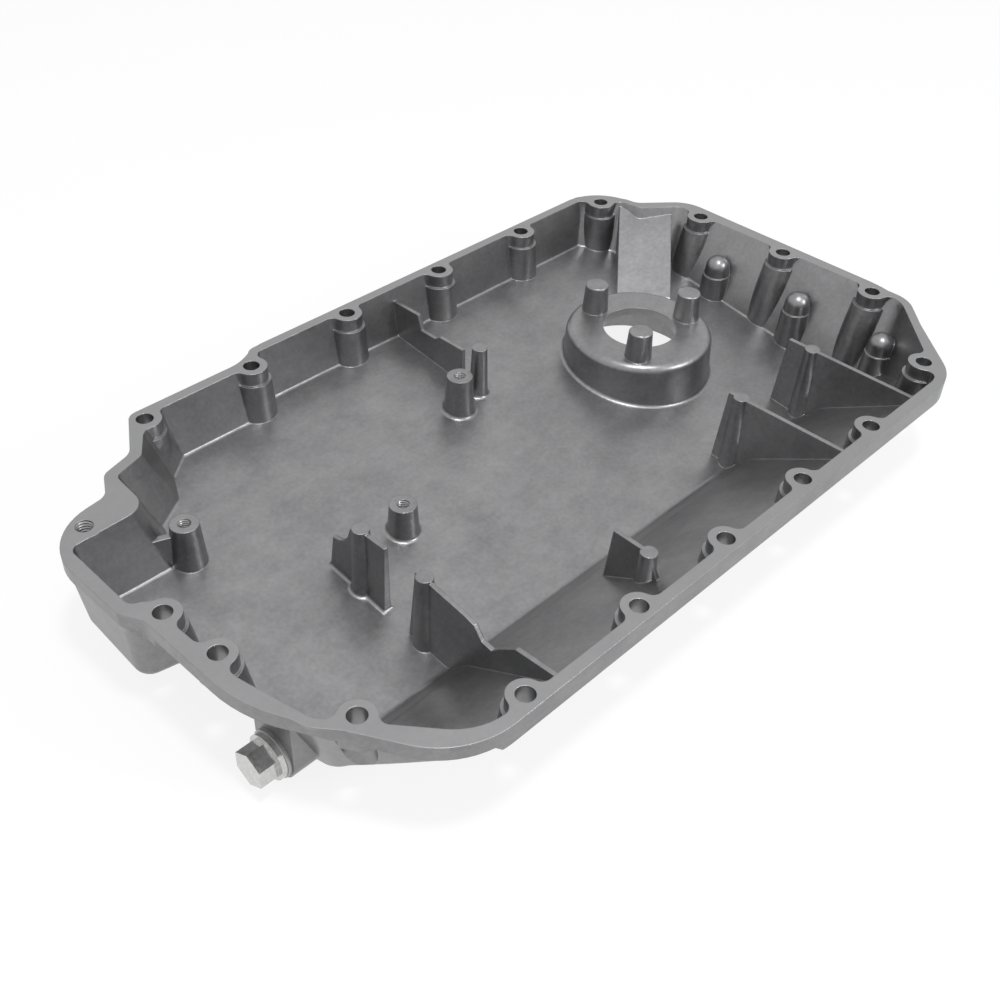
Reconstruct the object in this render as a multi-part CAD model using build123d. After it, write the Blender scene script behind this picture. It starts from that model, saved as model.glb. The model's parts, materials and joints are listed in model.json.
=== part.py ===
from build123d import *
import math
import os

# Engine oil pan: one aluminium casting with a machined flange, a drain plug and its sealing washer.
# All lengths are in millimetres. The flange face is at height zero and the pan hangs below it.
# X runs from the drain plug to the level sensor seat, Y from the near long side to the far one.

# Flange
flange_length = 390.4
flange_width = 226.8
flange_thickness = 6.0
bolt_seat_depth = 9.0
bolt_seat_radius = 7.8
skirt_depth = 9.0
skirt_start_x = -128.0
skirt_width = 18.0
hole_diameter = 7.2
lobe_radius = 6.9
lobe_flank_radius = 4.0
ledge_depth = 6.2

# Bolt rows of equal pitch
far_row_y = 107.2
far_row_pitch = 58.2
near_row_y = 107.2
near_row_pitch = 51.0
end_row_x = 198.9
end_row_pitch = 51.85
end_row_y = 2.65
tapped_corner_diameter = 6.8
tapped_corner_depth = 12.0
tapped_corner_boss_depth = 14.5

# Walls and floor
wall_thickness = 4.0
floor_thickness = 4.0
wall_reference_depth = 44.0
tub_depth = 50.0
floor_depth_at_middle = 36.2
floor_slope = 0.125
crease_y = -55.0
ramp_foot_run = 9.5
ramp_foot_rise = 9.8
ramp_slope = 0.56
ramp_top_radius = 9.0
crease_radius = 4.0
floor_fillet = 1.5
foot_fillet = 1.8
peg_foot_fillet = 1.2
outer_bottom_fillet = 4.5

# Bolt columns: the inner side of the pockets that the bolt heads sit in
column_top_radius = 8.1
column_foot_radius = 11.2
end_row_lean = 8.0
drain_end_lean = 5.0
pocket_radius = 6.1

# Level sensor turret
turret_x = 110.4
turret_y = 22.0
turret_radius = 35.0
turret_draft = 3.0
turret_top_depth = 15.4
turret_edge_radius = 4.0
turret_wall = 4.0
sensor_bore_radius = 17.5
sensor_screw_circle_radius = 25.6
sensor_screw_angle = 97.5
sensor_screw_count = 3
sensor_peg_radius = 5.5
sensor_peg_height = 14.0
peg_draft = 3.5
peg_edge_radius = 0.9
tapped_hole_radius = 2.6
sensor_screw_depth = 14.5

# Tapped bosses on the floor
boss_radius = 5.8
boss_draft = 4.0
boss_thread_depth = 12.0
web_thickness = 3.0
web_top_depth = 15.5
corner_web_length = 26.0
corner_web_angle = 160.0

# Baffle ribs
rib_thickness = 3.2
rib_peg_radius = 3.5
rib_peg_draft = 2.0

# Sloping pad between two bolts
pad_width = 27.5
pad_angle = 41.0
pad_x = 149.2
pad_y = 49.1
pad_foot_depth = 27.4
pad_slope = 0.49
pad_run = 62.0
pad_edge_radius = 3.0

# Domed bumps on the end wall
dome_radius = 6.2
dome_top_depth = 10.5
dome_step_depth = 20.5
dome_step = 0.6

# Drain
drain_y = -46.0
drain_depth = 34.5
drain_boss_radius = 10.3
drain_face_x = -165.5
drain_boss_length = 24.0
drain_thread_radius = 7.0
drain_clearance = 0.12
washer_outer_radius = 9.5
washer_inner_radius = 7.2
washer_thickness = 1.5
collar_radius = 9.0
collar_thickness = 2.2
hex_across_flats = 13.0
hex_height = 7.6
hex_chamfer = 1.0
plug_shank_length = 13.0
plug_tip_chamfer = 1.2

# Room that a cut runs past what it cuts
overrun = 1.0

# Outline corners: x as a share of the flange length, y and corner radius as shares of its width
flange_corner_shares = (
    (0.409, -0.500, 0.119),
    (0.529, -0.273, 0.220),
    (0.530, 0.305, 0.079),
    (0.476, 0.382, 0.035),
    (0.456, 0.500, 0.106),
    (-0.123, 0.500, 0.088),
    (-0.156, 0.473, 0.088),
    (-0.298, 0.473, 0.026),
    (-0.333, 0.377, 0.035),
    (-0.370, 0.358, 0.026),
    (-0.387, 0.307, 0.026),
    (-0.467, 0.287, 0.115),
    (-0.467, 0.060, 0.022),
    (-0.455, 0.021, 0.022),
    (-0.455, -0.213, 0.265),
    (-0.359, -0.500, 0.154),
)

# Cavity corners: x and y at the flange face, x and y at the reference depth, corner radius
cavity_corner_shares = (
    (0.3965, -0.478, 0.379, -0.445, 0.053),
    (0.516, -0.281, 0.466, -0.291, 0.053),
    (0.511, 0.304, 0.462, 0.273, 0.022),
    (0.467, 0.362, 0.430, 0.331, 0.022),
    (0.462, 0.409, 0.423, 0.388, 0.013),
    (0.424, 0.481, 0.397, 0.439, 0.013),
    (-0.128, 0.481, -0.123, 0.439, 0.010),
    (-0.138, 0.452, -0.133, 0.408, 0.010),
    (-0.268, 0.452, -0.248, 0.408, 0.010),
    (-0.305, 0.409, -0.269, 0.379, 0.010),
    (-0.326, 0.360, -0.282, 0.326, 0.020),
    (-0.363, 0.340, -0.318, 0.282, 0.013),
    (-0.367, 0.240, -0.340, 0.205, 0.038),
    (-0.452, 0.235, -0.441, 0.210, 0.015),
    (-0.454, 0.063, -0.443, 0.075, 0.013),
    (-0.440, 0.056, -0.400, 0.062, 0.013),
    (-0.4375, -0.163, -0.392, -0.145, 0.110),
    (-0.421, -0.296, -0.377, -0.265, 0.044),
    (-0.333, -0.478, -0.307, -0.445, 0.110),
)

# Single bolt holes: x and y shares, the direction in which the pocket opens, in degrees, and the
# column's lean as a share of the one at the drain end
single_hole_shares = (
    (-0.289, 0.445, 90.0, 0.0),
    (-0.149, 0.451, 90.0, 0.0),
    (0.440, 0.444, 52.0, 0.0),
    (0.415, -0.432, -43.0, 0.4),
    (-0.279, -0.4727, -90.0, 0.0),
    (-0.393, -0.336, 210.0, 0.6),
    (-0.432, -0.107, 180.0, 1.0),
    (-0.4375, 0.017, 180.0, 1.0),
)
tapped_corner_share = (-0.425, 0.2655)

# Tapped bosses: x, y and the depth of the top as a share of the reference depth
boss_shares = (
    (-0.339, 0.214, 0.26),
    (-0.145, 0.036, 0.48),
    (0.037, 0.211, 0.27),
)

# Ribs: plane, then profile corners along the width and down as shares, then the peg's y and top
rib_shares = (
    (0.077, ((0.495, 0.14), (0.401, 0.14), (0.390, 0.31), (0.349, 0.31), (0.336, 0.26), (0.270, 0.26)),
     0.225, 0.12),
    (-0.2305, ((0.048, 0.45), (0.030, 0.43), (0.017, 0.38), (0.008, 0.31), (0.001, 0.20), (-0.015, 0.15),
               (-0.084, 0.15)), -0.022, 0.13),
    (-0.2305, ((-0.158, 0.15), (-0.270, 0.24), (-0.291, 0.27), (-0.308, 0.39), (-0.331, 0.41),
               (-0.348, 0.32), (-0.380, 0.20), (-0.490, 0.17)), -0.176, 0.15),
    (-0.0525, ((-0.315, 0.14), (-0.388, 0.15), (-0.410, 0.36), (-0.436, 0.45)), -0.388, 0.15),
    (0.223, ((-0.208, 0.15), (-0.490, 0.15)), -0.234, 0.145),
    (0.3665, ((-0.180, 0.15), (-0.490, 0.15)), -0.234, 0.145),
)
rib_foot_lean_share = 0.03

# Domes: x and y shares of the vertical axis
dome_shares = (
    (0.4816, 0.143),
    (0.4816, -0.075),
    (0.4760, -0.292),
)


def place(x_share, y_share):
    """A point of the plan, from its shares of the flange."""
    return (x_share * flange_length, y_share * flange_width)


def grown(points, distance):
    """The corners of a counter-clockwise outline, each side moved outward by one distance."""
    moved = []
    count = len(points)
    for i in range(count):
        before, here, after = points[i - 1], points[i], points[(i + 1) % count]
        a = Vector(here[0] - before[0], here[1] - before[1]).normalized()
        b = Vector(after[0] - here[0], after[1] - here[1]).normalized()
        out_a = Vector(a.Y, -a.X)
        out_b = Vector(b.Y, -b.X)
        reach = distance / (1 + out_a.dot(out_b))
        moved.append((here[0] + (out_a.X + out_b.X) * reach, here[1] + (out_a.Y + out_b.Y) * reach))
    return moved


def turns_left(points, i):
    """Whether a counter-clockwise outline bulges outward at corner i."""
    before, here, after = points[i - 1], points[i], points[(i + 1) % len(points)]
    return (here[0] - before[0]) * (after[1] - here[1]) > (here[1] - before[1]) * (after[0] - here[0])


def outline(points, radii, height):
    """A closed face with rounded corners, lying level at one height."""
    wire = FilletPolyline(*points, radius=radii, close=True)
    return Pos(0, 0, height) * make_face(wire)


def flange_face():
    """The flange's outer shape."""
    points = [place(x, y) for x, y, _ in flange_corner_shares]
    return outline(points, [r * flange_width for _, _, r in flange_corner_shares], 0)


def cavity_faces(growth):
    """The cavity's plan at the flange face and at the reference depth, grown by a wall."""
    radii = [row[4] * flange_width for row in cavity_corner_shares]
    faces = []
    for depth in (0, tub_depth):
        down = depth / wall_reference_depth
        points = [place(a + (c - a) * down, b + (d - b) * down) for a, b, c, d, _ in cavity_corner_shares]
        rounds = []
        for i, radius in enumerate(radii):
            rounds.append(radius + growth if turns_left(points, i) else max(radius - growth, radius / 2))
        faces.append(outline(grown(points, growth), rounds, -depth))
    return faces


def floor_profile(drop):
    """Heights of the floor across the pan, as (y, z) corners, lowered by a thickness."""
    far_y = flange_width
    far_z = -floor_depth_at_middle + floor_slope * far_y
    crease_z = -floor_depth_at_middle + floor_slope * crease_y
    knee_y = crease_y - ramp_foot_run
    knee_z = crease_z + ramp_foot_rise
    near_y = -flange_width
    near_z = knee_z + ramp_slope * (knee_y - near_y)
    points = [(far_y, far_z), (crease_y, crease_z), (knee_y, knee_z), (near_y, near_z)]
    if drop == 0:
        return points
    lines = []
    for a, b in zip(points, points[1:]):
        along = Vector(b[0] - a[0], b[1] - a[1]).normalized()
        down = Vector(-along.Y, along.X) * drop
        lines.append(((a[0] + down.X, a[1] + down.Y), along))
    lowered = [lines[0][0]]
    for (p, u), (q, v) in zip(lines, lines[1:]):
        t = ((q[0] - p[0]) * v.Y - (q[1] - p[1]) * v.X) / (u.X * v.Y - u.Y * v.X)
        lowered.append((p[0] + u.X * t, p[1] + u.Y * t))
    last, along = lines[-1]
    t = (near_y - last[0]) / along.X
    lowered.append((near_y, last[1] + along.Y * t))
    return lowered


def above_floor(drop):
    """All the room above the floor, or above a surface one thickness under it."""
    floor_points = floor_profile(drop)
    top = flange_width
    corners = floor_points + [(-flange_width, top), (flange_width, top)]
    radii = [0.0, crease_radius + drop, ramp_top_radius, 0.0, 0.0, 0.0]
    wire = Polyline(*corners, close=True)
    face = make_face(Plane.YZ * wire)
    solid = extrude(face, amount=flange_length, both=True)
    for i in (1, 2):
        y, z = floor_points[i]
        edge = solid.edges().filter_by(Axis.X).sort_by_distance((0, y, z))[0]
        solid = fillet(edge, radii[i])
    return solid


def round_bottom(solid, radius):
    """Rounds the edge where the walls meet the floor and the ramp."""
    floors = [face for face in solid.faces() if face.normal_at(face.center()).Z < -overrun / 2]
    floor_edges = [edge for face in floors for edge in face.edges()]
    walls = [face for face in solid.faces() if abs(face.normal_at(face.center()).Z) < overrun / 2]
    edges = []
    for wall in walls:
        edges += [edge for edge in wall.edges() if any(edge.is_same(other) for other in floor_edges)]
    return fillet(edges, radius)


def cavity_room():
    """The open space inside the pan, with sloped walls and rounded floor."""
    top, foot = cavity_faces(0)
    room = loft([foot, top], ruled=True) & above_floor(0)
    return round_bottom(room, floor_fillet)


def shell_envelope(drop):
    """The outer shape of the tub under the flange."""
    top, foot = cavity_faces(wall_thickness)
    tub = loft([foot, top], ruled=True) & above_floor(drop)
    return round_bottom(tub, outer_bottom_fillet)


def tapered_post(x, y, top, radius, draft, bottom):
    """A round post whose radius grows downward."""
    height = top - bottom
    foot_radius = radius + height * math.tan(math.radians(draft))
    return Pos(x, y, bottom) * Cone(foot_radius, radius, height, align=(Align.CENTER, Align.CENTER, Align.MIN))


def bolt_holes():
    """Every plain flange hole: x, y, the direction in which its pocket opens, and its column's lean."""
    holes = []
    for i in range(3):
        holes.append((i * far_row_pitch, far_row_y, 90.0, 0.0))
    for i in range(4):
        holes.append(((i - 1) * near_row_pitch, -near_row_y, -90.0, 0.0))
    for i in range(3):
        holes.append((end_row_x, end_row_y + (i - 1) * end_row_pitch, 0.0, end_row_lean))
    for x, y, direction, lean_share in single_hole_shares:
        holes.append((*place(x, y), direction, lean_share * drain_end_lean))
    return holes


def lobe_ring():
    """What the lobes round the holes take from the cavity, down to the ledge under them."""
    opening = cavity_faces(0)[0]
    narrowed = opening
    for x, y, _, _ in bolt_holes():
        narrowed -= Pos(x, y) * Circle(lobe_radius)
    narrowed -= Pos(*place(*tapped_corner_share)) * Circle(lobe_radius)
    narrowed = offset(offset(narrowed, amount=-lobe_flank_radius), amount=lobe_flank_radius)
    return extrude(offset(opening, amount=overrun) - narrowed, amount=-ledge_depth)


def bolt_columns():
    """The columns that stand round the bolt pockets on the inside, leaning with the wall."""
    columns = []
    for x, y, direction, lean in bolt_holes():
        away = math.radians(direction)
        foot = Pos(x - lean * math.cos(away), y - lean * math.sin(away), -tub_depth)
        top = Pos(x, y, -ledge_depth)
        columns.append(loft([foot * Circle(column_foot_radius), top * Circle(column_top_radius)]))
    return columns


def bolt_seats():
    """The round seats under the flange that the bolt heads press on."""
    spots = [(x, y, bolt_seat_depth) for x, y, _, _ in bolt_holes()]
    spots.append((*place(*tapped_corner_share), tapped_corner_boss_depth))
    edge = extrude(flange_face(), amount=-2 * bolt_seat_depth)
    seats = []
    for x, y, depth in spots:
        seats.append(edge & Pos(x, y, -overrun) * Cylinder(
            bolt_seat_radius, depth - overrun, align=(Align.CENTER, Align.CENTER, Align.MAX)))
    return seats


def skirt():
    """The deeper edge of the flange along its near long side."""
    room = Pos(skirt_start_x, -flange_width / 2, 0) * Box(
        flange_length / 2 - skirt_start_x, skirt_width, skirt_depth, align=(Align.MIN, Align.MIN, Align.MAX))
    room = chamfer(room.edges().filter_by(Axis.Y).sort_by_distance((skirt_start_x, 0, -skirt_depth))[0],
                   skirt_depth - flange_thickness)
    return extrude(flange_face(), amount=-skirt_depth) & room


def bolt_pockets():
    """What is cut out from below for each bolt head, open to the outside, and the bolt's hole."""
    cuts = []
    reach = 4 * pocket_radius
    for x, y, direction, _ in bolt_holes():
        slot = Circle(pocket_radius) + Pos(reach / 2, 0) * Rectangle(reach, 2 * pocket_radius)
        pocket = extrude(slot, amount=-2 * wall_reference_depth)
        cuts.append(Pos(x, y, -bolt_seat_depth) * Rot(0, 0, direction) * pocket)
        cuts.append(Pos(x, y, 0) * Cylinder(hole_diameter / 2, 3 * bolt_seat_depth))
    return cuts


def ribs():
    """The baffle ribs with the peg on each, standing on the floor."""
    pieces = []
    for plane, profile, peg_y, peg_top in rib_shares:
        x = plane * flange_length
        corners = [(y * flange_width, -z * wall_reference_depth) for y, z in profile]
        lean = rib_foot_lean_share * flange_width
        first, last = corners[0], corners[-1]
        foot = [(last[0], -2 * wall_reference_depth), (first[0] + lean, -2 * wall_reference_depth)]
        face = make_face(Plane.YZ.offset(x) * Polyline(*corners, *foot, close=True))
        pieces.append(extrude(face, amount=rib_thickness / 2, both=True))
        pieces.append(tapered_post(x, peg_y * flange_width, -peg_top * wall_reference_depth, rib_peg_radius,
                                   rib_peg_draft, -2 * wall_reference_depth))
    return pieces


def bosses():
    """The tapped bosses that stand on the floor."""
    pieces = []
    for x_share, y_share, top_share in boss_shares:
        x, y = place(x_share, y_share)
        pieces.append(tapered_post(x, y, -top_share * wall_reference_depth, boss_radius, boss_draft,
                                   -2 * wall_reference_depth))
    x, y = place(*boss_shares[0][:2])
    pieces.append(Pos(x, y, -web_top_depth) * Rot(0, 0, corner_web_angle) * Box(
        corner_web_length, web_thickness, wall_reference_depth, align=(Align.MIN, Align.CENTER, Align.MAX)))
    return pieces


def boss_threads():
    """The tapped holes in the bosses, and the one in the flange's corner."""
    cuts = []
    for x_share, y_share, top_share in boss_shares:
        x, y = place(x_share, y_share)
        top = -top_share * wall_reference_depth
        cuts.append(Pos(x, y, top) * Cylinder(tapped_hole_radius, boss_thread_depth,
                                              align=(Align.CENTER, Align.CENTER, Align.MAX)))
    x, y = place(*tapped_corner_share)
    cuts.append(Pos(x, y, 0) * Cylinder(tapped_corner_diameter / 2, tapped_corner_depth,
                                        align=(Align.CENTER, Align.CENTER, Align.MAX)))
    return cuts


def turret():
    """The round seat that the oil level sensor screws to from below."""
    bottom = -2 * wall_reference_depth
    tower = tapered_post(turret_x, turret_y, -turret_top_depth, turret_radius, turret_draft, bottom)
    rim = tower.edges().sort_by(Axis.Z)[-1]
    return fillet(rim, turret_edge_radius)


def turret_hollow():
    """The open room inside the turret, and its bore."""
    top = -turret_top_depth - turret_wall
    bottom = -2 * wall_reference_depth
    room = tapered_post(turret_x, turret_y, top, turret_radius - turret_wall, turret_draft, bottom)
    bore = Pos(turret_x, turret_y, -turret_top_depth) * Cylinder(sensor_bore_radius, 2 * turret_wall + overrun)
    return [room, bore]


def sensor_pegs():
    """The three blind pegs on the turret, and the tapped holes in them from below."""
    pegs = []
    taps = []
    for i in range(sensor_screw_count):
        angle = math.radians(sensor_screw_angle + i * 360 / sensor_screw_count)
        x = turret_x + sensor_screw_circle_radius * math.cos(angle)
        y = turret_y + sensor_screw_circle_radius * math.sin(angle)
        top = -turret_top_depth + sensor_peg_height
        peg = tapered_post(x, y, top, sensor_peg_radius, peg_draft, -turret_top_depth - turret_wall)
        pegs.append(fillet(peg.edges().sort_by(Axis.Z)[-1], peg_edge_radius))
        taps.append(Pos(x, y, -turret_top_depth - turret_wall) * Cylinder(
            tapped_hole_radius, sensor_screw_depth, align=(Align.CENTER, Align.CENTER, Align.MIN)))
    return pegs, taps


def pad():
    """The sloping pad that rises from the floor to the end wall."""
    drop = pad_foot_depth + wall_reference_depth
    profile = Polyline((0, -drop), (0, -pad_foot_depth), (pad_run, -pad_foot_depth + pad_slope * pad_run),
                       (pad_run, -drop), close=True)
    block = extrude(make_face(Plane.XZ * profile), amount=pad_width / 2, both=True)
    foot_edge = block.edges().filter_by(Axis.Y).sort_by_distance((0, 0, -pad_foot_depth))[0]
    block = fillet(foot_edge, pad_edge_radius)
    return Pos(pad_x, pad_y, 0) * Rot(0, 0, pad_angle) * block


def domes():
    """The bumps on the end wall: round post, domed top and a stepped foot."""
    pieces = []
    for x_share, y_share in dome_shares:
        x, y = place(x_share, y_share)
        centre = -dome_top_depth - dome_radius
        pieces.append(Pos(x, y, centre) * Sphere(dome_radius))
        pieces.append(tapered_post(x, y, centre, dome_radius, peg_draft, -2 * wall_reference_depth))
        pieces.append(tapered_post(x - dome_step, y, -dome_step_depth, dome_radius + dome_step, peg_draft,
                                   -2 * wall_reference_depth))
    return pieces


def drain_boss():
    """The boss that the drain plug screws into, with a web up to the flange."""
    barrel = Pos(drain_face_x, drain_y, -drain_depth) * Rot(0, 90, 0) * Cylinder(
        drain_boss_radius, drain_boss_length, align=(Align.CENTER, Align.CENTER, Align.MIN))
    web = Pos(drain_face_x, drain_y, -overrun) * Box(
        drain_boss_length, 2 * drain_boss_radius, drain_depth - overrun,
        align=(Align.MIN, Align.CENTER, Align.MAX))
    return barrel + web


def drain_bore():
    """The hole that the plug screws into."""
    return Pos(drain_face_x, drain_y, -drain_depth) * Rot(0, 90, 0) * Cylinder(
        drain_thread_radius, 2 * (drain_boss_length + wall_thickness))


def round_feet(solid, spot, radius):
    """Rounds the foot of every post that stands clear on the face at one spot."""
    feet = [wire.center() for wire in face_at(solid, spot).inner_wires()]
    for foot in feet:
        wires = face_at(solid, spot).inner_wires()
        nearest = min(wires, key=lambda wire: (wire.center() - foot).length)
        solid = fillet(nearest.edges(), radius)
    return solid


def face_at(solid, spot):
    """The flat face nearest to one spot."""
    flat = solid.faces().filter_by(GeomType.PLANE)
    return min(flat, key=lambda face: face.distance_to(Vertex(*spot)))


def core():
    """The sand core that leaves the open room inside the pan."""
    posts = bolt_columns() + ribs() + bosses() + domes() + [turret(), pad()] + sensor_pegs()[0]
    solid = cavity_room() - lobe_ring() - posts
    floor_middle = (0, 0, -floor_depth_at_middle)
    turret_top = (turret_x, turret_y, -turret_top_depth)
    solid = round_feet(solid, floor_middle, foot_fillet)
    return round_feet(solid, turret_top, peg_foot_fillet)


def pan_casting():
    """The whole casting: flange, tub and drain boss, with the core's room taken out."""
    body = extrude(flange_face(), amount=-flange_thickness) + shell_envelope(floor_thickness)
    body = body + drain_boss() + skirt() + bolt_seats() - core()
    return body - bolt_pockets() - boss_threads() - sensor_pegs()[1] - turret_hollow() - drain_bore()


def sealing_washer():
    """The flat ring between the plug and the boss."""
    ring = Circle(washer_outer_radius) - Circle(washer_inner_radius)
    disc = extrude(ring, amount=washer_thickness)
    return Pos(drain_face_x, drain_y, -drain_depth) * Rot(0, -90, 0) * disc


def drain_plug():
    """The hexagon headed plug, along its own axis with the head upward."""
    shank_radius = drain_thread_radius - drain_clearance
    shank = Cylinder(shank_radius, plug_shank_length, align=(Align.CENTER, Align.CENTER, Align.MAX))
    shank = chamfer(shank.edges().sort_by(Axis.Z)[0], plug_tip_chamfer)
    collar = Cylinder(collar_radius, collar_thickness, align=(Align.CENTER, Align.CENTER, Align.MIN))
    head = extrude(RegularPolygon(hex_across_flats / 2, 6, major_radius=False), amount=hex_height)
    corner = hex_across_flats / math.sqrt(3)
    trim = Cone(corner + hex_height, corner - hex_chamfer, hex_height + hex_chamfer,
                align=(Align.CENTER, Align.CENTER, Align.MIN))
    head = Pos(0, 0, collar_thickness) * (head & trim)
    plug = shank + collar + head
    return Pos(drain_face_x - washer_thickness, drain_y, -drain_depth) * Rot(0, -90, 0) * plug


os.makedirs("parts", exist_ok=True)
export_step(pan_casting(), "parts/pan_casting.step")
export_step(sealing_washer(), "parts/sealing_washer.step")
export_step(drain_plug(), "parts/drain_plug.step")
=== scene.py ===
"""Looks for a cast aluminium engine oil pan: cast and milled metal, threads, drain plug, studio."""

import json
import math

import bpy
from mathutils import Matrix, Vector


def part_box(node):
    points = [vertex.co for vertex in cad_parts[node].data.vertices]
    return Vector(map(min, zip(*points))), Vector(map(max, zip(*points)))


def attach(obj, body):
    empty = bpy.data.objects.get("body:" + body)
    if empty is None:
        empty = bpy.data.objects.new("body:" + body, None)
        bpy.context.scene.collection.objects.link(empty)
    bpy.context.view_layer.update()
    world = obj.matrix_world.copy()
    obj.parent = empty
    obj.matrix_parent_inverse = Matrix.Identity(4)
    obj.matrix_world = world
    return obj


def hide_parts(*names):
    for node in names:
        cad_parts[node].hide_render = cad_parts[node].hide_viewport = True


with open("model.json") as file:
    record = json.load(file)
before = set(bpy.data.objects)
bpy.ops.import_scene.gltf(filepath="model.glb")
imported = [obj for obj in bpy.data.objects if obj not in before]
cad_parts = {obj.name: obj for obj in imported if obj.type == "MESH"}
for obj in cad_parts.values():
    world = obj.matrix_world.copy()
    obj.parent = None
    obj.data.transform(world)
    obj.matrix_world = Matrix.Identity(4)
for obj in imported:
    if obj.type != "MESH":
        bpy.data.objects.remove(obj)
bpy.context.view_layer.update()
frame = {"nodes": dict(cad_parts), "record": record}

bl_info = {
    "name": "Oil Pan Looks",
    "version": (1, 0, 0),
    "blender": (4, 5, 0),
    "location": "View3D > Sidebar > Oil Pan",
    "description": "Cast and milled finishes, threads and a drain plug for an engine oil pan",
    "category": "Object",
}

MM = 0.001
PLUG_LOW, PLUG_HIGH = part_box("drain_plug")
WASHER_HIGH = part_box("sealing_washer")[1]
PAN_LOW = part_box("pan_casting")[0]
PLUG_AXIS = ((PLUG_LOW[1] + PLUG_HIGH[1]) / 2, (PLUG_LOW[2] + PLUG_HIGH[2]) / 2)

# Each baffle rib: its middle line as a share of the flange's length, and the stretch of Y it stands in
RIB_PLACES = (
    (0.077, 55 * MM, 108 * MM),
    (-0.2305, -116 * MM, 14 * MM),
    (-0.0525, -104 * MM, -68 * MM),
    (0.223, -108 * MM, -44 * MM),
    (0.3665, -108 * MM, -38 * MM),
)

# Each lamp: its name, place, size and power in watts
LAMPS = (
    ("key lamp", (-0.15, -0.3, 1.25), 0.2, 9.0),
    ("side lamp", (0.4, -0.95, 0.6), 0.2, 4.5),
)

# The turn of the camera: what is right, up and back in its picture
CAMERA_RIGHT = Vector((0.69444, -0.71863, 0.03629))
CAMERA_UP = Vector((0.44318, 0.46690, 0.76524))
CAMERA_BACK = Vector((-0.56687, -0.51534, 0.64272))


def mount(name):
    """The place, direction and sizes of one of the part's mounts."""
    for one in frame["record"]["mounts"]:
        if one["name"] == name:
            return one
    raise RuntimeError(f"the record has no mount {name}")


class PanSizes(bpy.types.PropertyGroup):
    flange_length: bpy.props.FloatProperty(
        name="Flange length", description="Length that the ribs' places follow", default=390.4 * MM,
        min=0.0, unit="LENGTH")
    cast_grain: bpy.props.FloatProperty(
        name="Cast grain", description="Size of the grain of the cast skin", default=1.8 * MM,
        min=0.0, unit="LENGTH")
    grain_height: bpy.props.FloatProperty(
        name="Grain height", description="How far the cast grain stands up", default=0.08 * MM,
        min=0.0, unit="LENGTH")
    soft_edge: bpy.props.FloatProperty(
        name="Soft edge", description="How far light rolls over a cast edge", default=0.6 * MM,
        min=0.0, unit="LENGTH")
    cloud_size: bpy.props.FloatProperty(
        name="Cloud size", description="Size of the cast skin's darker and lighter clouds",
        default=24 * MM, min=0.0, unit="LENGTH")
    flow_size: bpy.props.FloatProperty(
        name="Flow size", description="Size of the marks that the metal left as it flowed",
        default=5 * MM, min=0.0, unit="LENGTH")
    milled_depth: bpy.props.FloatProperty(
        name="Milled depth", description="Depth under the flange face that is still milled bright",
        default=0.35 * MM, min=0.0, unit="LENGTH")
    small_thread_pitch: bpy.props.FloatProperty(
        name="Small thread pitch", description="Rise of one turn in the tapped bosses",
        default=1.0 * MM, min=0.0, unit="LENGTH")
    corner_thread_pitch: bpy.props.FloatProperty(
        name="Corner thread pitch", description="Rise of one turn in the tapped flange hole",
        default=1.25 * MM, min=0.0, unit="LENGTH")
    mouth_rise: bpy.props.FloatProperty(
        name="Mouth rise", description="How far the tapped holes' mouths stand above their mounts' places",
        default=4.0 * MM, min=0.0, unit="LENGTH")
    plug_thread_pitch: bpy.props.FloatProperty(
        name="Plug thread pitch", description="Rise of one turn of the drain plug",
        default=1.5 * MM, min=0.0, unit="LENGTH")
    shank_radius: bpy.props.FloatProperty(
        name="Shank radius", description="Radius of the drain plug's shank", default=6.88 * MM,
        min=0.0, unit="LENGTH")
    sensor_screw_angle: bpy.props.FloatProperty(
        name="Sensor screw angle", description="Where the first screw of the sensor seat stands",
        default=math.radians(97.5), unit="ROTATION")
    sensor_thread_depth: bpy.props.FloatProperty(
        name="Sensor thread depth", description="Depth of the tapped holes under the sensor seat",
        default=14.0 * MM, min=0.0, unit="LENGTH")
    rib_width: bpy.props.FloatProperty(
        name="Rib width", description="Width of a baffle rib at its foot", default=3.2 * MM,
        min=0.0, unit="LENGTH")
    rib_top_share: bpy.props.FloatProperty(
        name="Rib top share", description="Width of a baffle rib at its top, as a share of its foot",
        default=0.6, min=0.1, max=1.0)
    rib_top_line: bpy.props.FloatProperty(
        name="Rib top line", description="Height above which a rib is thin", default=-21.0 * MM,
        unit="LENGTH")
    weld_distance: bpy.props.FloatProperty(
        name="Weld distance", description="Corners of a casting's triangles nearer than this are one",
        default=0.002 * MM, min=0.0, unit="LENGTH")
    sharp_angle: bpy.props.FloatProperty(
        name="Sharp angle", description="Edges steeper than this stay sharp",
        default=math.radians(32), min=0.0, unit="ROTATION")
    flat_angle: bpy.props.FloatProperty(
        name="Flat angle", description="Faces that differ by less than this are one face",
        default=math.radians(0.4), min=0.0, unit="ROTATION")
    camera_lens: bpy.props.FloatProperty(
        name="Camera lens", description="Focal length on a 36 mm sensor, in millimetres",
        default=45.27, min=1.0)
    camera_place: bpy.props.FloatVectorProperty(
        name="Camera place", description="Where the camera stands", size=3, subtype="XYZ",
        default=(-316.4 * MM, -280.7 * MM, 307.6 * MM), unit="LENGTH")


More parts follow.
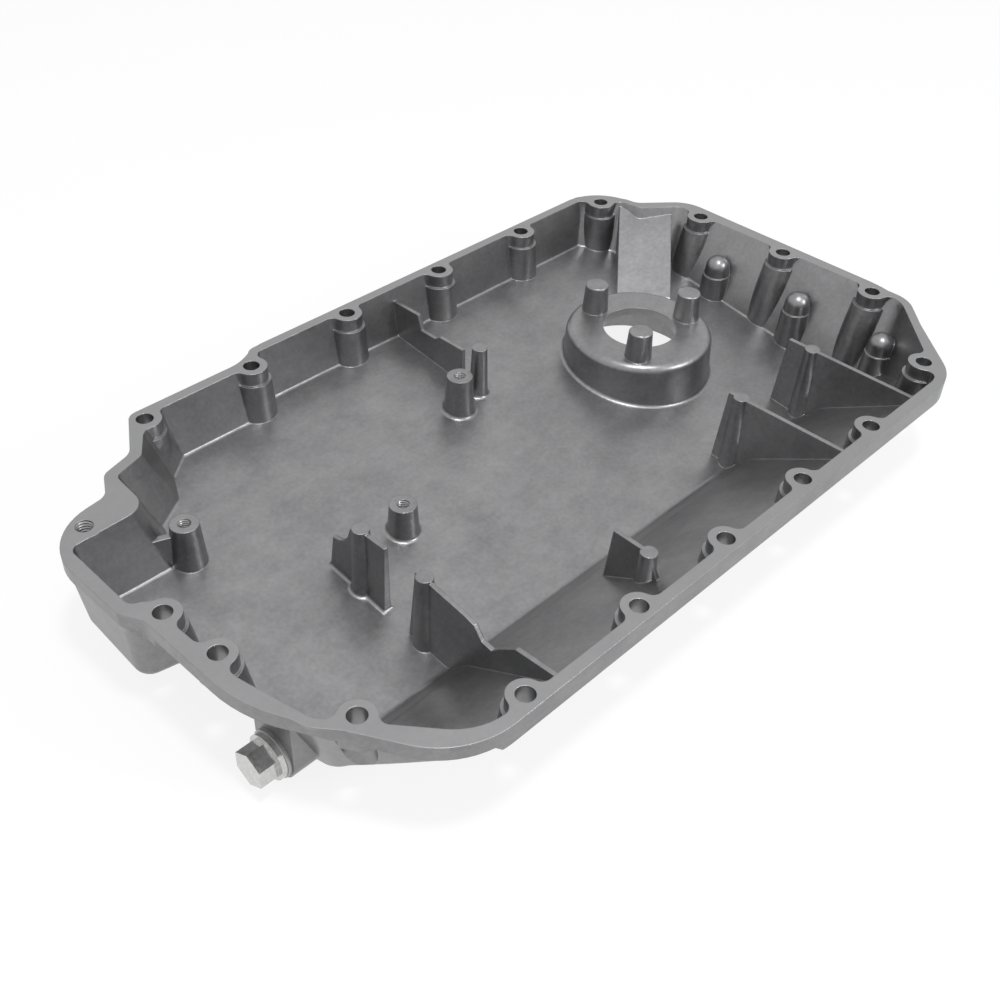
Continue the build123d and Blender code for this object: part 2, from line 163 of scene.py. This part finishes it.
class PanFinish(bpy.types.PropertyGroup):
    cast_colour: bpy.props.FloatVectorProperty(
        name="Cast metal", description="Colour of the cast skin", size=3, subtype="COLOR",
        min=0.0, max=1.0, default=(0.3, 0.3, 0.305))
    cast_dark: bpy.props.FloatVectorProperty(
        name="Cast metal, dark", description="Colour of the cast skin in its darker clouds", size=3,
        subtype="COLOR", min=0.0, max=1.0, default=(0.205, 0.205, 0.21))
    milled_colour: bpy.props.FloatVectorProperty(
        name="Milled metal", description="Colour of the milled faces", size=3, subtype="COLOR",
        min=0.0, max=1.0, default=(0.31, 0.31, 0.315))
    plated_colour: bpy.props.FloatVectorProperty(
        name="Plated steel", description="Colour of the drain plug", size=3, subtype="COLOR",
        min=0.0, max=1.0, default=(0.72, 0.72, 0.71))
    plated_dark: bpy.props.FloatVectorProperty(
        name="Plated steel, dark", description="Colour of the drain plug where its plating is dull", size=3,
        subtype="COLOR", min=0.0, max=1.0, default=(0.4, 0.4, 0.4))
    washer_colour: bpy.props.FloatVectorProperty(
        name="Washer", description="Colour of the sealing washer", size=3, subtype="COLOR",
        min=0.0, max=1.0, default=(0.4, 0.4, 0.405))
    floor_colour: bpy.props.FloatVectorProperty(
        name="Floor", description="Colour of the studio floor", size=3, subtype="COLOR",
        min=0.0, max=1.0, default=(0.94, 0.94, 0.94))


class Wire:
    """A shader socket that Python's operators join with Math nodes."""

    def __init__(self, tree, socket):
        self.tree = tree
        self.socket = socket

    def math(self, operation, other=0.0, swapped=False):
        node = self.tree.nodes.new("ShaderNodeMath")
        node.operation = operation
        pair = (other, self) if swapped else (self, other)
        for slot, value in zip(node.inputs, pair):
            if isinstance(value, Wire):
                self.tree.links.new(value.socket, slot)
            else:
                slot.default_value = value
        return Wire(self.tree, node.outputs[0])

    def __add__(self, other):
        return self.math("ADD", other)

    def __radd__(self, other):
        return self.math("ADD", other, True)

    def __sub__(self, other):
        return self.math("SUBTRACT", other)

    def __rsub__(self, other):
        return self.math("SUBTRACT", other, True)

    def __mul__(self, other):
        return self.math("MULTIPLY", other)

    def __rmul__(self, other):
        return self.math("MULTIPLY", other, True)

    def __gt__(self, other):
        return self.math("GREATER_THAN", other)


class Nodes:
    """A node tree under construction, and the one way to add nodes to it."""

    def __init__(self, tree):
        self.tree = tree

    def node(self, kind, settings=None, inputs=None, output=0):
        """Adds a node of one type, with its settings first and then its sockets' values or links."""
        node = self.tree.nodes.new(kind)
        for key, value in (settings or {}).items():
            setattr(node, key, value)
        self.feed(node, inputs or {})
        return Wire(self.tree, node.outputs[output])

    def feed(self, node, inputs):
        """Puts a value or a link into each named socket of a node."""
        for key, value in inputs.items():
            if isinstance(value, Wire):
                self.tree.links.new(value.socket, node.inputs[key])
            else:
                node.inputs[key].default_value = value

    def looked_at(self):
        """1 for the rays with which the camera, gloss or glass looks."""
        camera, gloss, glass = (
            self.node("ShaderNodeLightPath", output=f"Is {kind} Ray")
            for kind in ("Camera", "Glossy", "Transmission"))
        return camera + gloss + glass


class Finish(Nodes):
    """A material under construction, with its one shader."""

    def __init__(self, name):
        self.material = bpy.data.materials.new(name)
        self.material.use_nodes = True
        super().__init__(self.material.node_tree)
        self.shader = self.tree.nodes["Principled BSDF"]

    def place(self):
        """The piece's own coordinates."""
        return self.node("ShaderNodeTexCoord", output="Object")

    def noise(self, size, detail=3.0, stretch=(1.0, 1.0, 1.0)):
        """Noise from 0 to 1 whose lumps measure about one size."""
        spread = self.node("ShaderNodeVectorMath", {"operation": "MULTIPLY"},
                           {0: self.place(), 1: stretch})
        return self.node("ShaderNodeTexNoise", None,
                         {"Vector": spread, "Scale": 1.0 / size, "Detail": detail})

    def blend(self, share, low, high):
        """A colour between two, by a share."""
        low, high = (end if isinstance(end, Wire) else (*end, 1.0) for end in (low, high))
        return self.node("ShaderNodeMix", {"data_type": "RGBA"}, {0: share, 6: low, 7: high}, 2)

    def rounded(self, reach):
        """The surface's direction, with light rolling over its edges."""
        return self.node("ShaderNodeBevel", {"samples": 6}, {"Radius": reach})


def cast_finish(sizes, colours):
    """Grainy cast skin, with milled faces level with the flange face."""
    look = Finish("cast aluminium")
    height = look.node("ShaderNodeSeparateXYZ", None, {"Vector": look.place()}, output="Z")
    facing = look.node("ShaderNodeNewGeometry", output="True Normal")
    level = look.node("ShaderNodeSeparateXYZ", None, {"Vector": facing}, output="Z") > 0.999
    milled = level * (height > -sizes.milled_depth)
    clouds = look.noise(sizes.cloud_size, 4.0)
    grain = look.noise(sizes.cast_grain, 3.0)
    flow = look.noise(sizes.flow_size, 4.0, (0.6, 1.0, 1.0))
    mottle = (clouds * 0.45 + flow * 0.25 + grain * 0.3 - 0.5) * 3.2 + 0.5
    skin = look.blend(mottle, colours.cast_dark, colours.cast_colour)
    colour = look.blend(milled * 0.7, skin, colours.milled_colour)
    rough = 0.29 + clouds * 0.06 + grain * 0.08 + milled * 0.05
    bumps = look.node("ShaderNodeBump", None, {
        "Strength": 0.5, "Distance": sizes.grain_height, "Height": grain * (1.0 - milled * 0.6),
        "Normal": look.rounded(sizes.soft_edge)})
    look.feed(look.shader, {"Base Color": colour, "Roughness": rough, "Metallic": 0.95, "Normal": bumps})
    return look.material


def tapped_finish(colours):
    """Cut aluminium of the threads."""
    look = Finish("tapped aluminium")
    grain = look.noise(0.8 * MM, 2.0)
    look.feed(look.shader, {
        "Base Color": (*colours.milled_colour, 1.0), "Metallic": 0.9, "Roughness": 0.28 + grain * 0.12})
    return look.material


def plated_finish(colours):
    """Bright plated steel."""
    look = Finish("plated steel")
    grain = look.noise(1.4 * MM, 3.0)
    colour = look.blend(grain, colours.plated_dark, colours.plated_colour)
    look.feed(look.shader, {
        "Base Color": colour, "Metallic": 1.0, "Roughness": 0.1 + grain * 0.12,
        "Normal": look.rounded(0.25 * MM)})
    return look.material


def washer_finish(colours):
    """Dull pressed aluminium."""
    look = Finish("washer aluminium")
    grain = look.noise(1.0 * MM, 2.0)
    look.feed(look.shader, {
        "Base Color": (*colours.washer_colour, 1.0), "Metallic": 0.95, "Roughness": 0.3 + grain * 0.14,
        "Normal": look.rounded(0.3 * MM)})
    return look.material


def clear_selection():
    """Leaves edit mode and deselects everything."""
    if bpy.context.mode != "OBJECT":
        bpy.ops.object.mode_set(mode="OBJECT")
    bpy.ops.object.select_all(action="DESELECT")


def pick(obj):
    """Makes one object the only one selected."""
    clear_selection()
    obj.select_set(True)
    bpy.context.view_layer.objects.active = obj


def finish_piece(obj, name, body, material):
    """Names a piece, puts its place into its mesh and lets it ride on its body."""
    obj.name = name
    pick(obj)
    bpy.ops.object.transform_apply(location=True, rotation=True, scale=True)
    obj.data.materials.clear()
    obj.data.materials.append(material)
    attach(obj, body)
    return obj


def merged_copy(node, name, sizes):
    """A copy of a CAD node whose loose triangles are joined, shaded smooth up to sharp edges."""
    obj = bpy.data.objects.new(name, frame["nodes"][node].data.copy())
    bpy.context.scene.collection.objects.link(obj)
    pick(obj)
    bpy.ops.object.mode_set(mode="EDIT")
    bpy.ops.mesh.select_all(action="SELECT")
    bpy.ops.mesh.remove_doubles(threshold=sizes.weld_distance)
    bpy.ops.mesh.dissolve_degenerate(threshold=2.5 * sizes.weld_distance)
    bpy.ops.mesh.select_all(action="SELECT")
    bpy.ops.mesh.dissolve_limited(angle_limit=sizes.flat_angle)
    bpy.ops.mesh.select_mode(type="EDGE")
    bpy.ops.mesh.select_all(action="DESELECT")
    bpy.ops.mesh.edges_select_sharp(sharpness=sizes.sharp_angle)
    bpy.ops.mesh.mark_sharp()
    bpy.ops.mesh.select_mode(type="VERT")
    bpy.ops.object.mode_set(mode="OBJECT")
    bpy.ops.mesh.customdata_custom_splitnormals_clear()
    bpy.ops.object.shade_smooth(keep_sharp_edges=True)
    even = obj.modifiers.new("even", "WEIGHTED_NORMAL")
    even.mode = "FACE_AREA"
    even.keep_sharp = True
    even.weight = 50
    bpy.ops.object.modifier_apply(modifier="even")
    return obj


def thin_ribs(obj, sizes):
    """Gives the sides of the ribs their draft, from full width at the foot to thin at the top."""
    pick(obj)
    bpy.ops.object.mode_set(mode="EDIT")
    bpy.ops.mesh.select_all(action="DESELECT")
    bpy.ops.object.mode_set(mode="OBJECT")
    half = sizes.rib_width / 2
    for rib_share, first_y, last_y in RIB_PLACES:
        rib_x = rib_share * sizes.flange_length
        for vertex in obj.data.vertices:
            x, y, z = vertex.co
            on_side = abs(abs(x - rib_x) - half) < 10 * sizes.weld_distance
            vertex.select = on_side and first_y < y < last_y and z > sizes.rib_top_line
        bpy.ops.object.mode_set(mode="EDIT")
        bpy.ops.transform.resize(value=(sizes.rib_top_share, 1, 1), center_override=(rib_x, 0, 0))
        bpy.ops.mesh.select_all(action="DESELECT")
        bpy.ops.object.mode_set(mode="OBJECT")


def thread_coil(mouth, axis, radius, depth, pitch, turns, sharp_angle):
    """A right-handed helical ridge that ends just inside a mouth; a negative depth points inward."""
    root, crest, steps = 0.46 * pitch, 0.07 * pitch, 30
    clear_selection()
    bpy.ops.mesh.primitive_plane_add(size=1.0, location=(0, 0, 0))
    obj = bpy.context.object
    profile = ((radius, root), (radius, -root), (radius + depth, crest), (radius + depth, -crest))
    for vertex, (out, rise) in zip(obj.data.vertices, profile):
        vertex.co = (out, 0, rise)
    sweep = obj.modifiers.new("sweep", "SCREW")
    sweep.screw_offset = pitch
    sweep.iterations = turns
    sweep.steps = steps
    sweep.render_steps = steps
    bpy.ops.object.modifier_apply(modifier="sweep")
    bpy.ops.object.mode_set(mode="EDIT")
    bpy.ops.mesh.select_all(action="SELECT")
    bpy.ops.mesh.fill_holes(sides=4)
    bpy.ops.mesh.normals_make_consistent(inside=False)
    bpy.ops.object.mode_set(mode="OBJECT")
    bpy.ops.object.shade_smooth_by_angle(angle=sharp_angle)
    axis = Vector(axis)
    obj.rotation_euler = axis.to_track_quat("Z", "Y").to_euler()
    obj.location = Vector(mouth) - axis * (turns + 0.6) * pitch
    return obj


def joined(pieces):
    """Several objects made into one."""
    clear_selection()
    for obj in pieces:
        obj.select_set(True)
    bpy.context.view_layer.objects.active = pieces[0]
    bpy.ops.object.join()
    return pieces[0]


class OILPAN_OT_casting(bpy.types.Operator):
    """Gives the pan casting its cast and milled finish"""
    bl_idname = "oilpan.casting"
    bl_label = "Pan Casting"

    def execute(self, context):
        sizes = context.scene.pan_sizes
        obj = merged_copy("pan_casting", "pan_cast_body", sizes)
        thin_ribs(obj, sizes)
        metal = cast_finish(sizes, context.scene.pan_finish)
        finish_piece(obj, "pan_cast_body", "pan", metal)
        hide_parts("pan_casting")
        return {"FINISHED"}


class OILPAN_OT_threads(bpy.types.Operator):
    """Cuts the threads of the tapped bosses, of the flange's tapped corner and under the sensor seat"""
    bl_idname = "oilpan.threads"
    bl_label = "Threads"

    def execute(self, context):
        sizes = context.scene.pan_sizes
        coils = []
        for name in ("baffle_boss_corner", "baffle_boss_middle", "baffle_boss_centre", "tapped_corner"):
            hole = mount(name)
            mouth = Vector(hole["pos_m"]) + Vector(hole["axis"]) * sizes.mouth_rise
            pitch = sizes.corner_thread_pitch if name == "tapped_corner" else sizes.small_thread_pitch
            coils.append(self.tapped(mouth, hole["axis"], hole["dims"]["r_mm"] * MM,
                                     hole["dims"]["length_mm"] * MM, pitch, sizes))
        seat = mount("sensor_screws")
        for i in range(seat["dims"]["count"]):
            angle = sizes.sensor_screw_angle + i * math.tau / seat["dims"]["count"]
            out = Vector((math.cos(angle), math.sin(angle), 0)) * (seat["dims"]["pcd_mm"] / 2 * MM)
            coils.append(self.tapped(Vector(seat["pos_m"]) + out, seat["axis"],
                                     seat["dims"]["hole_r_mm"] * MM, sizes.sensor_thread_depth,
                                     sizes.small_thread_pitch, sizes))
        obj = joined(coils)
        finish_piece(obj, "pan_threads", "pan", tapped_finish(context.scene.pan_finish))
        return {"FINISHED"}

    def tapped(self, mouth, axis, radius, length, pitch, sizes):
        """One internal thread, its root just inside the metal."""
        return thread_coil(mouth, axis, radius + 0.03 * pitch, -0.36 * pitch, pitch,
                           int(length / pitch) - 1, sizes.sharp_angle)


class OILPAN_OT_plug(bpy.types.Operator):
    """Finishes the drain plug and its washer"""
    bl_idname = "oilpan.plug"
    bl_label = "Drain Plug"

    def execute(self, context):
        sizes = context.scene.pan_sizes
        colours = context.scene.pan_finish
        steel = plated_finish(colours)
        plug = merged_copy("drain_plug", "drain_plug_body", sizes)
        finish_piece(plug, "drain_plug_body", "plug", steel)
        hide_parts("drain_plug")
        washer = merged_copy("sealing_washer", "sealing_washer_ring", sizes)
        finish_piece(washer, "sealing_washer_ring", "washer", washer_finish(colours))
        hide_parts("sealing_washer")
        root_depth, crest_rise, turns = 0.06 * MM, 0.16 * MM, 7
        thread = thread_coil((WASHER_HIGH[0], PLUG_AXIS[0], PLUG_AXIS[1]), (-1, 0, 0),
                             sizes.shank_radius - root_depth, crest_rise, sizes.plug_thread_pitch, turns,
                             sizes.sharp_angle)
        finish_piece(thread, "drain_plug_thread", "plug", steel)
        return {"FINISHED"}


class OILPAN_OT_stage(bpy.types.Operator):
    """Adds the floor, the lamps, the white surroundings and the camera"""
    bl_idname = "oilpan.stage"
    bl_label = "Stage"

    def execute(self, context):
        scene = context.scene
        self.floor(scene.pan_finish)
        self.lamps(scene)
        self.world(scene)
        self.camera(scene, scene.pan_sizes)
        scene.view_settings.view_transform = "Standard"
        return {"FINISHED"}

    def floor(self, colours):
        """Pale floor that the camera sees nearly white, with a faint shadow."""
        clear_selection()
        bpy.ops.mesh.primitive_plane_add(size=12.0, location=(0, 0, PAN_LOW[2] - 0.2 * MM))
        floor = bpy.context.object
        floor.name = "floor"
        look = Finish("studio floor")
        look.feed(look.shader, {"Base Color": (*colours.floor_colour, 1.0), "Roughness": 0.9})
        plain = Wire(look.tree, look.shader.outputs[0])
        glow = look.node("ShaderNodeEmission", None, {"Color": (1.0, 1.0, 1.0, 1.0), "Strength": 1.0})
        seen = look.node("ShaderNodeMixShader", None, {0: look.looked_at() * 0.85, 1: plain, 2: glow})
        look.feed(look.tree.nodes["Material Output"], {"Surface": seen})
        floor.data.materials.append(look.material)

    def lamps(self, scene):
        """The two round lamps, each turned to the pan."""
        for name, place, size, power in LAMPS:
            light = bpy.data.lights.new(name, "AREA")
            light.shape = "DISK"
            light.size = size
            light.energy = power
            lamp = bpy.data.objects.new(name, light)
            scene.collection.objects.link(lamp)
            lamp.location = place
            lamp.rotation_euler = (-Vector(place)).to_track_quat("-Z", "Y").to_euler()

    def world(self, scene):
        """Soft light from all round, and plain white where the camera, gloss or glass looks."""
        world = bpy.data.worlds.new("studio")
        world.use_nodes = True
        scene.world = world
        sky = Nodes(world.node_tree)
        sky.feed(sky.tree.nodes["Background"], {
            "Color": (1.0, 1.0, 1.0, 1.0), "Strength": 0.6 + sky.looked_at() * 0.4})

    def camera(self, scene, sizes):
        """The camera, as the photograph was taken."""
        camera = bpy.data.objects.new("camera", bpy.data.cameras.new("camera"))
        scene.collection.objects.link(camera)
        camera.data.sensor_width = 36
        camera.data.lens = sizes.camera_lens
        camera.data.clip_start = 0.01
        turn = Matrix((CAMERA_RIGHT, CAMERA_UP, CAMERA_BACK)).transposed().to_4x4()
        camera.matrix_world = Matrix.Translation(Vector(sizes.camera_place)) @ turn
        scene.camera = camera


class OILPAN_PT_panel(bpy.types.Panel):
    """Lists the pieces, and the sizes and colours to change"""
    bl_idname = "OILPAN_PT_panel"
    bl_label = "Oil Pan"
    bl_space_type = "VIEW_3D"
    bl_region_type = "UI"
    bl_category = "Oil Pan"

    def draw(self, context):
        layout = self.layout
        for piece in PIECES:
            layout.operator(piece.bl_idname)
        for group in (context.scene.pan_sizes, context.scene.pan_finish):
            box = layout.box()
            for name in group.bl_rna.properties.keys():
                if name not in ("name", "rna_type"):
                    box.prop(group, name)


PIECES = (OILPAN_OT_casting, OILPAN_OT_threads, OILPAN_OT_plug, OILPAN_OT_stage)
CLASSES = (PanSizes, PanFinish, *PIECES, OILPAN_PT_panel)


def register():
    for one in CLASSES:
        bpy.utils.register_class(one)
    bpy.types.Scene.pan_sizes = bpy.props.PointerProperty(type=PanSizes)
    bpy.types.Scene.pan_finish = bpy.props.PointerProperty(type=PanFinish)


def unregister():
    del bpy.types.Scene.pan_finish
    del bpy.types.Scene.pan_sizes
    for one in reversed(CLASSES):
        bpy.utils.unregister_class(one)


def main():
    register()
    bpy.ops.oilpan.casting()
    bpy.ops.oilpan.threads()
    bpy.ops.oilpan.plug()
    bpy.ops.oilpan.stage()


if __name__ == "__main__":
    main()
